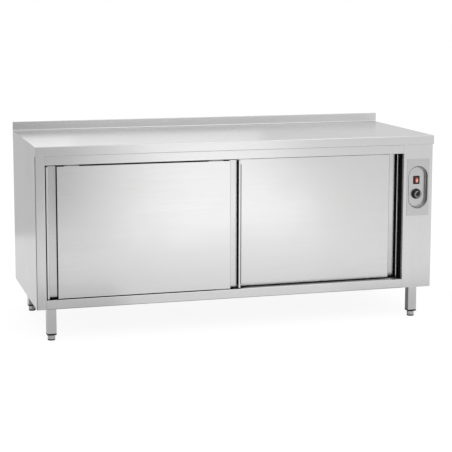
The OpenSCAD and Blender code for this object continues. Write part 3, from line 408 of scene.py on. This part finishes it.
def lit_lens(name):
    """A translucent orange-red switch lens with a neon lamp glowing behind it; the glow sits off the middle,
    leaving the left of the lens dark as painted shade.
    """
    shader = Shader(name)
    low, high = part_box("switch_lens")
    middle = (low + high) / 2
    place = shader.split_place()
    far = []
    for axis, centre, size in (("X", middle.x + GLOW_OFF[0], GLOW_SIZE[0]),
                               ("Z", middle.z + GLOW_OFF[1], GLOW_SIZE[1])):
        off = shader.maths("MULTIPLY", shader.maths("SUBTRACT", place[axis], centre), 1 / size)
        far.append(shader.maths("MULTIPLY", off, off))
    glow = shader.remap(shader.maths("ADD", *far), 1.0, 0.0, 0.0, 1.6)
    shader.colour(LENS_RED)
    shader.feed(shader.bsdf.inputs["Emission Color"], shader.mix(glow, GLOW_EDGE, GLOW_HEART))
    shader.feed(shader.bsdf.inputs["Emission Strength"], shader.remap(glow, 0.35, 0.95, 0.0, 1.0))
    shader.set(IOR=1.49)
    shader.roughness(shader.remap(shader.noise(300.0, 2.0), 0.18, 0.28))
    shader.bumps((shader.maths("SINE", shader.maths("MULTIPLY", place["Z"], LENS_RIBS)), 0.1, 0.0002))
    return shader.material


def mineral_wool(name):
    """Loose yellow-brown fibres."""
    shader = Shader(name)
    fibre = shader.noise(260.0, 5.0, 0.7, (1.0, 0.25, 1.0))
    clump = shader.noise(30.0, 4.0)
    brown, straw, shade = (0.34, 0.27, 0.13, 1.0), (0.62, 0.53, 0.30, 1.0), (0.28, 0.22, 0.11, 1.0)
    tone = shader.mix(shader.remap(fibre, 0.0, 1.0), brown, straw)
    shader.colour(shader.mix(shader.remap(clump, 0.0, 0.5), tone, shade))
    shader.roughness(shader.remap(clump, 0.85, 0.98))
    shader.bumps((clump, 0.6, 0.004), (fibre, 0.7, 0.0015))
    return shader.material


def glazed_terminal(name):
    """Pale heat-proof terminal body with a slight glaze."""
    shader = Shader(name)
    speck = shader.noise(180.0, 3.0)
    cream, pale = (0.74, 0.71, 0.64, 1.0), (0.83, 0.80, 0.74, 1.0)
    shader.colour(shader.mix(shader.remap(speck, 0.0, 1.0), cream, pale))
    shader.set(IOR=1.5)
    shader.roughness(shader.remap(speck, 0.3, 0.45))
    shader.bumps((speck, 0.05, 0.0002))
    return shader.material


def printed_white(name):
    """Screen printed paint, a little worn."""
    shader = Shader(name)
    wear = shader.noise(700.0, 3.0)
    shader.colour(shader.mix(shader.remap(wear, 0.0, 1.0), grey(0.62), grey(0.82)))
    shader.roughness(shader.remap(wear, 0.45, 0.65))
    shader.bumps((wear, 0.1, 0.00005))
    return shader.material


def finishes():
    """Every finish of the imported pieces, and the nodes that take it."""
    faces = ("control_plate", "control_fascia", *PULLS)
    front = {name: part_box(name)[0].y for name in faces}
    # Painted reflection: the walls that face left in the dish, the fascia and the door fronts are painted
    # dark
    plate = brushed_steel("steel_control_plate", "Z", level=0.53, rough=0.27, seed=4.0, seam=DISH_SEAM,
                          walls=(front["control_plate"], DISH_WALL), wall_shine=0.3)
    fascia = brushed_steel("steel_fascia", "Z", seed=1.3, walls=(front["control_fascia"], FASCIA_WALL))
    # Painted shade: the door fronts' pull backs are darker, the right door's the most
    door_steel = {face: brushed_steel(f"steel_{face}", "X", seam=DOOR_SEAM, walls=(front[face], DOOR_WALL),
                                      pull=(front[face], *pull))
                  for face, pull in PULLS.items()}
    doors = ("left_door", "right_door")
    feet = [f"foot_{row}_{side}" for row in ("front", "rear") for side in ("left", "right")]
    legs = [f"leg_{row}_{side}" for row in ("front", "rear") for side in ("left", "right")]
    return [
        *((material, [face]) for face, material in door_steel.items()),
        (brushed_steel("steel_brushed_across", "X"),
         ["worktop", "front_header", "back_liner", "chamber_ceiling", "base_tray", "shelf", "back_panel"]
         + [f"{door}_back" for door in doors]),
        # Painted shade: the rail and the chamber floor darken over a wide reach into their recess
        (brushed_steel("steel_in_recess", "X", seam=WIDE_SEAM), ["bottom_rail", "chamber_floor"]),
        (fascia, ["control_fascia"]),
        # Painted reflection: the stile's upright folds keep a quarter of the steel, the rest painted dark
        (brushed_steel("steel_stile", "Z", seed=1.3, bend_shine=0.25), ["left_stile"]),
        (brushed_steel("steel_brushed_upright", "Z", seed=1.3), ["air_baffle"] + legs),
        (brushed_steel("steel_brushed_deep", "Y", seed=2.1),
         ["left_side_panel", "right_side_panel", "left_liner", "bay_partition"]),
        (plate, ["control_plate"]),
        (plated_steel("zinc_plated_steel"),
         ["worktop_channels", "shelf_uprights", "shelf_brackets", "fan_motor", "thermostat_body",
          "back_screws", "leg_bolts"] + [f"{door}_hangers" for door in doors]),
        (aluminium("aluminium_track", "X"), ["door_track"]),
        (aluminium("aluminium_wheel", "X"), ["fan_wheel"]),
        (moulded_plastic("white_nylon", WHITE_NYLON, 0.45),
         ["door_guides"] + [f"{door}_roller_{end}" for door in doors for end in ("inner", "outer")]),
        (mineral_wool("mineral_wool"),
         ["side_insulation", "back_insulation", "top_insulation", "base_insulation"]
         + [f"{door}_insulation" for door in doors]),
        (moulded_plastic("black_plastic", BLACK),
         ["switch_housing", "switch_rocker", "thermostat_knob", "cable_gland", "leg_plugs"]),
        (turned_foot("turned_foot"), feet),
        (heater_sheath("heater_sheath"), ["ring_heater"]),
        (drawn_copper("drawn_copper"), ["thermostat_sensor"]),
        (glazed_terminal("terminal_body"), ["terminal_block"]),
        (lit_lens("lit_lens"), ["switch_lens"]),
    ]


def dress_nodes():
    for material, names in finishes():
        for name in names:
            for slot in NODES[name].material_slots:
                slot.material = material


# Printing on the knob and the index line that it is read against

# The figures run anticlockwise from the top, seen from the front. A ring's size is its radius
NUMBERS = ("0", "20", "30", "40", "50", "60", "70", "80", "90")
NUMBER_STEP = math.radians(-36.0)
NUMBER_RING = 0.0128
NUMBER_HEIGHT = 0.0058
NUMBER_WEIGHT = 0.00009
NUMBER_SPACING = 0.95
TICK_RING = (0.0152, 0.0166)
TICK_WIDTH = 0.0007
PRINT_DEPTH = 0.00006
INDEX_GAP = 0.0015
INDEX_LENGTH = 0.0045


def on_dial(angle, place):
    """A transform that lays flat work drawn in XY on a face that looks along -Y, turned about its middle."""
    upright = Matrix.Rotation(math.pi / 2, 4, "X")
    return Matrix.Translation(place) @ upright @ Matrix.Rotation(-angle, 4, "Z")


def add_slab(mesh, low, high, transform):
    """A thin raised bar from low to high in XY."""
    bar = bmesh.ops.create_cube(mesh, size=1.0)["verts"]
    size = Vector((high[0] - low[0], high[1] - low[1], PRINT_DEPTH))
    middle = Vector(((high[0] + low[0]) / 2, (high[1] + low[1]) / 2, 0.0))
    for vert in bar:
        vert.co = transform @ (vert.co * size + middle)


def add_number(mesh, text, transform):
    """Figures set in the built-in face, standing with their feet towards the dial's middle."""
    curve = bpy.data.curves.new("figures", "FONT")
    curve.body, curve.size, curve.extrude = text, NUMBER_HEIGHT, PRINT_DEPTH / 2
    curve.align_x, curve.align_y = "CENTER", "CENTER"
    curve.space_character, curve.offset = NUMBER_SPACING, NUMBER_WEIGHT
    letters = bpy.data.objects.new("figures", curve)
    flat = bpy.data.meshes.new_from_object(letters)
    flat.transform(transform @ Matrix.Translation((0.0, NUMBER_RING, 0.0)))
    mesh.from_mesh(flat)
    bpy.data.meshes.remove(flat)
    bpy.data.objects.remove(letters)
    bpy.data.curves.remove(curve)


def finish_piece(mesh, name, material, body):
    """Turns a mesh under construction into a piece that rides on a body."""
    data = bpy.data.meshes.new(name)
    mesh.to_mesh(data)
    mesh.free()
    data.materials.append(material)
    piece = bpy.data.objects.new(name, data)
    SCENE.collection.objects.link(piece)
    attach(piece, body)


def print_dial():
    """White figures and ticks on the knob's face, and an index line on the dish above it."""
    low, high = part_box("thermostat_knob")
    proud = PRINT_DEPTH / 4
    face = Vector(((low.x + high.x) / 2, low.y - proud, (low.z + high.z) / 2))
    printed = bmesh.new()
    for count, text in enumerate(NUMBERS):
        turned = on_dial(count * NUMBER_STEP, face)
        add_number(printed, text, turned)
        add_slab(printed, (-TICK_WIDTH / 2, TICK_RING[0]), (TICK_WIDTH / 2, TICK_RING[1]), turned)
    finish_piece(printed, "knob_figures", printed_white("printed_white"), "knob")
    index = bmesh.new()
    start = (high.x - low.x) / 2 + INDEX_GAP
    joints = {joint["name"]: joint for joint in frame["record"]["behaviour"]["joints"]}
    dish_floor = joints["thermostat_turn"]["pos_m"][1]
    place = Vector((face.x, dish_floor - proud, face.z))
    add_slab(index, (-TICK_WIDTH, start), (TICK_WIDTH, start + INDEX_LENGTH), on_dial(0.0, place))
    finish_piece(index, "dial_index", moulded_plastic("printed_black", BLACK), "cabinet")


# Thin trim that paints shade: a dark line around the dish of the control plate, and a black strip where the
# doors overlap, both standing for shadow lines

# Width and height of the dish at its rim, the painted shadow line's radius, and its points on a half turn
# and around
DISH = (0.092, 0.190)
RIM_SHADOW_RADIUS = 0.0005
RIM_SHADOW_POINTS = 24
RIM_SHADOW_SIDES = 6
# How far the painted shadow strip stands out of the door's edge, its thickness, how far it stays behind the
# door's face and how far it stops short of the door's top and foot
SHADOW_STRIP_OUT = 0.0034
SHADOW_STRIP_THICK = 0.0060
SHADOW_STRIP_BEHIND = 0.0004
SHADOW_STRIP_END = 0.016
SHADOW_STRIP_POINTS = 6


def join_rings(mesh, first, second):
    """A band of faces between two rings of as many vertices."""
    for here in range(len(first)):
        after = (here + 1) % len(first)
        mesh.faces.new((first[here], first[after], second[after], second[here]))


def add_rim_shadow_line():
    """A thin dark line that follows the rim of the dish, half sunk in the plate: painted shade for the
    shadow at the rim.
    """
    low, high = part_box("control_plate")
    middle = (low + high) / 2
    radius = DISH[0] / 2
    straight = DISH[1] / 2 - radius
    forward = Vector((0.0, -1.0, 0.0))
    rim_shadow_mesh = bmesh.new()
    rings = []
    for start, up in ((0.0, straight), (math.pi, -straight)):
        for step in range(RIM_SHADOW_POINTS + 1):
            turn = start + math.pi * step / RIM_SHADOW_POINTS
            out = Vector((math.cos(turn), 0.0, math.sin(turn)))
            spot = Vector((middle.x, low.y, middle.z + up)) + out * radius
            around = [math.tau * side / RIM_SHADOW_SIDES for side in range(RIM_SHADOW_SIDES)]
            rings.append([rim_shadow_mesh.verts.new(spot + RIM_SHADOW_RADIUS * (math.cos(a) * out + math.sin(a) * forward))
                          for a in around])
    for here, ring in enumerate(rings):
        join_rings(rim_shadow_mesh, ring, rings[(here + 1) % len(rings)])
    bmesh.ops.recalc_face_normals(rim_shadow_mesh, faces=rim_shadow_mesh.faces)
    # Painted shade: this black tube stands for the shadow line at the dish's rim
    finish_piece(rim_shadow_mesh, "dish_shadow_line", moulded_plastic("black_rim_shadow", BLACK, 0.6), "cabinet")


def add_overlap_shadow_strip():
    """A black strip with a rounded outer side along the left door's right edge: painted shade for the shadow
    line where the doors overlap.
    """
    low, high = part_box("left_door_front")
    section = []
    for step in range(SHADOW_STRIP_POINTS + 1):
        turn = math.pi * step / SHADOW_STRIP_POINTS
        section.append((high.x + SHADOW_STRIP_OUT * math.sin(turn) ** 0.5,
                        low.y + SHADOW_STRIP_BEHIND + SHADOW_STRIP_THICK * (1 - math.cos(turn)) / 2))
    strip = bmesh.new()
    ends = [[strip.verts.new((x, y, z)) for x, y in section]
            for z in (low.z + SHADOW_STRIP_END, high.z - SHADOW_STRIP_END)]
    join_rings(strip, *ends)
    for end in ends:
        strip.faces.new(end)
    bmesh.ops.recalc_face_normals(strip, faces=strip.faces)
    # Painted shade: the black of this strip stands for the shadow between the doors
    rubber = moulded_plastic("black_gap_shadow", BLACK, 0.7, 500.0)
    finish_piece(strip, "door_gap_shadow", rubber, "left_door")


# The stage: floor, daylight, lamps and flags

FLOOR_REACH = 30.0
FLOOR_LEVEL = -0.0004
FLOOR_TONE = 0.85
FLOOR_ROUGH = 0.9
# Brightness of the floor's own white, and its share to the camera and in metal or glass
FLOOR_WHITE = 1.06
WHITE_SHARE_SEEN = 0.85
WHITE_SHARE_IN_METAL = 0.12
DAYLIGHT = 1.0
SQUARE = ((-1, -1), (1, -1), (1, 1), (-1, 1))


class Stage(Graph):
    """Nodes of a floor or world shader, with what kind of ray is looking."""

    def __init__(self, tree):
        super().__init__(tree)
        self.path = self.nodes.new("ShaderNodeLightPath").outputs

    def by_ray(self, camera, metal, other):
        """One number for camera rays, one for rays off metal or through glass and one for all else."""
        seen = self.path["Is Camera Ray"]
        either = self.maths("MAXIMUM", self.path["Is Glossy Ray"], self.path["Is Transmission Ray"])
        plain = self.maths("SUBTRACT", 1.0, self.maths("MAXIMUM", either, seen))
        total = self.maths("MULTIPLY", seen, camera)
        total = self.maths("MULTIPLY_ADD", either, metal, total)
        return self.maths("MULTIPLY_ADD", plain, other, total)


def add_sheet(name, width, height, level, material, place=Matrix.Identity(4)):
    """A flat four-sided sheet, about the origin of its transform."""
    mesh = bpy.data.meshes.new(name)
    mesh.from_pydata([(x * width / 2, y * height / 2, level) for x, y in SQUARE], [], [(0, 1, 2, 3)])
    mesh.materials.append(material)
    sheet = bpy.data.objects.new(name, mesh)
    sheet.matrix_world = place
    SCENE.collection.objects.link(sheet)
    return sheet


def make_floor():
    """A pale floor that keeps the object's shadow and looks white to the camera and in the metal."""
    material = new_material("pale_floor")
    stage = Stage(material.node_tree)
    paint = stage.nodes["Principled BSDF"]
    paint.inputs["Base Color"].default_value = grey(FLOOR_TONE)
    paint.inputs["Roughness"].default_value = FLOOR_ROUGH
    paint.inputs["Specular IOR Level"].default_value = 0.0
    white = stage.node("ShaderNodeEmission", Strength=FLOOR_WHITE)
    mix = stage.nodes.new("ShaderNodeMixShader")
    stage.feed(mix.inputs[0], stage.by_ray(WHITE_SHARE_SEEN, WHITE_SHARE_IN_METAL, 0.0))
    stage.feed(mix.inputs[1], paint.outputs[0])
    stage.feed(mix.inputs[2], white.outputs[0])
    stage.feed(stage.nodes["Material Output"].inputs["Surface"], mix.outputs[0])
    floor = add_sheet("floor", 2 * FLOOR_REACH, 2 * FLOOR_REACH, FLOOR_LEVEL, material)


def make_world():
    """White all round for the camera and in the metal, and an even soft light for all else."""
    world = bpy.data.worlds.new("studio")
    SCENE.world = world
    world.use_nodes = True
    stage = Stage(world.node_tree)
    background = stage.nodes["Background"]
    background.inputs["Color"].default_value = (1.0, 1.0, 1.0, 1.0)
    stage.feed(background.inputs["Strength"], stage.by_ray(1.0, 1.0, DAYLIGHT))


# Each lamp: name, middle, what it points at, width and height, brightness of its face
LAMPS = [
    ("upper_softbox", (0.47, -2.6, 0.58), (0.47, 0.0, 0.58), (0.94, 0.54), 0.47),
    ("lower_softbox", (0.58, -2.6, 0.15), (0.58, 0.0, 0.15), (1.24, 0.30), 0.48),
    ("floor_pool", (0.62, -2.5, 2.0), (0.62, -2.5, 0.0), (1.7, 2.9), 1.2),
    ("back_left_box", (-0.75, 3.4, 1.5), (-0.75, 0.0, 1.5), (1.3, 1.0), 0.12),
]
# Each flag: name, middle, what it faces, width and height, and its grey
FLAGS = [
    ("behind_camera", (-3.0, -6.6, 1.5), (-3.0, 0.0, 1.5), (4.6, 3.0), 0.08),
    ("far_left", (-4.6, -3.4, 1.2), (0.0, -3.4, 1.2), (5.0, 2.4), 0.08),
    ("upper_middle", (0.5, -2.6, 1.5), (0.5, 0.0, 1.5), (1.8, 1.1), 0.80),
    # Painted shadow: these three sheets on the floor stand for the cabinet's shadow there, as the metal sees
    # it
    ("left_floor_shadow", (-0.85, -0.70, 0.002), (-0.85, -0.70, 1.0), (0.9, 1.1), 0.62),
    ("right_floor_shadow", (1.0, -0.65, 0.002), (1.0, -0.65, 1.0), (0.7, 0.60), 0.70),
    ("under_floor_shadow", (0.0, 0.15, 0.002), (0.0, 0.15, 1.0), (1.7, 0.9), 0.20),
    ("left_flag", (-1.57, -2.6, 1.06), (-1.57, 0.0, 1.06), (2.5, 1.88), 0.60),
    ("back_left_flag", (-2.0, 2.2, 1.0), (-2.0, 0.0, 1.0), (2.0, 2.0), 0.62),
    ("back_right_flag", (2.7, 3.5, 1.4), (2.7, 0.0, 1.4), (2.8, 2.2), 0.78),
]


def facing(place, target):
    """A transform at place whose -Z axis points at target."""
    turn = (Vector(target) - Vector(place)).to_track_quat("-Z", "Y")
    return Matrix.Translation(place) @ turn.to_matrix().to_4x4()


def make_lamps():
    """Soft boxes, out of the camera's sight. A lamp's watts spread over its face give its brightness."""
    for name, place, target, (width, height), brightness in LAMPS:
        data = bpy.data.lights.new(name, "AREA")
        data.shape = "RECTANGLE"
        data.size, data.size_y = width, height
        data.energy = brightness * math.pi * width * height
        lamp = bpy.data.objects.new(name, data)
        lamp.matrix_world = facing(place, target)
        lamp.visible_camera = False
        SCENE.collection.objects.link(lamp)


def make_flags():
    """Grey cards that only the metal sees, as in a studio where steel is photographed; the sheets on the
    floor among them are painted shadow.
    """
    for name, place, target, (width, height), tone in FLAGS:
        material = new_material(name)
        graph = Graph(material.node_tree)
        card = graph.node("ShaderNodeEmission", Color=grey(tone))
        graph.feed(graph.nodes["Material Output"].inputs["Surface"], card.outputs[0])
        flag = add_sheet(name, width, height, 0.0, material, facing(place, target))
        flag.visible_camera = False
        flag.visible_shadow = False
        flag.visible_diffuse = False


def view_as_is():
    """No tone curve, so that a colour renders as it is written."""
    SCENE.view_settings.view_transform = "Standard"


make_camera()
dress_nodes()
print_dial()
add_rim_shadow_line()
add_overlap_shadow_strip()
make_floor()
make_world()
make_lamps()
make_flags()
view_as_is()
